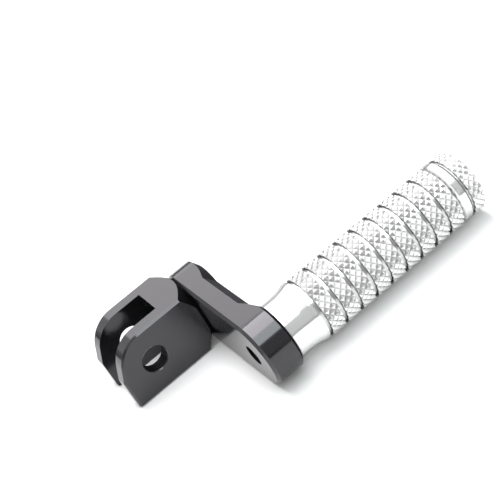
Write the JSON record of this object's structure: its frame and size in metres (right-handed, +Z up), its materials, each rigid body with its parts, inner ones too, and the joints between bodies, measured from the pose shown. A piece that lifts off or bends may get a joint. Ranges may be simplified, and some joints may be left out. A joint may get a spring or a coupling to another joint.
{
  "type": "motorcycle foot peg",
  "caption": "Folding foot peg: forked clevis block with a cross pin bore, swinging offset arm and a turned round peg with knurled bands and a plugged end cap.",
  "frame": {"origin": "centre of the clevis block's cross bore for the pivot pin, midway between the two ears", "axes": "+X along the peg towards its free tip, +Y along the pivot pin, +Z up; the arm reaches along -Y"},
  "size_m": [0.1365, 0.0742, 0.0262],
  "materials": {
    "black_anodised": "black anodised, satin",
    "bright_aluminium": "turned and clear anodised, bright satin",
    "plated_steel": "bright zinc plated",
    "seal_rubber": "matt"
  },
  "bodies": {
    "clevis": {"clevis_mount": "black_anodised", "clamp_screw": "plated_steel"},
    "arm": {"extension_arm": "black_anodised", "peg_grip": "bright_aluminium", "peg_bolt": "plated_steel", "flat_washer": "plated_steel", "spring_washer": "plated_steel", "end_cap": "bright_aluminium", "cap_seal": "seal_rubber"}
  },
  "joints": [
    {"name": "arm_swing", "type": "hinge", "parent": "clevis", "child": "arm", "pos_m": [0.0233, 0, 0], "axis": [1, 0, 0], "continuous": true}
  ]
}
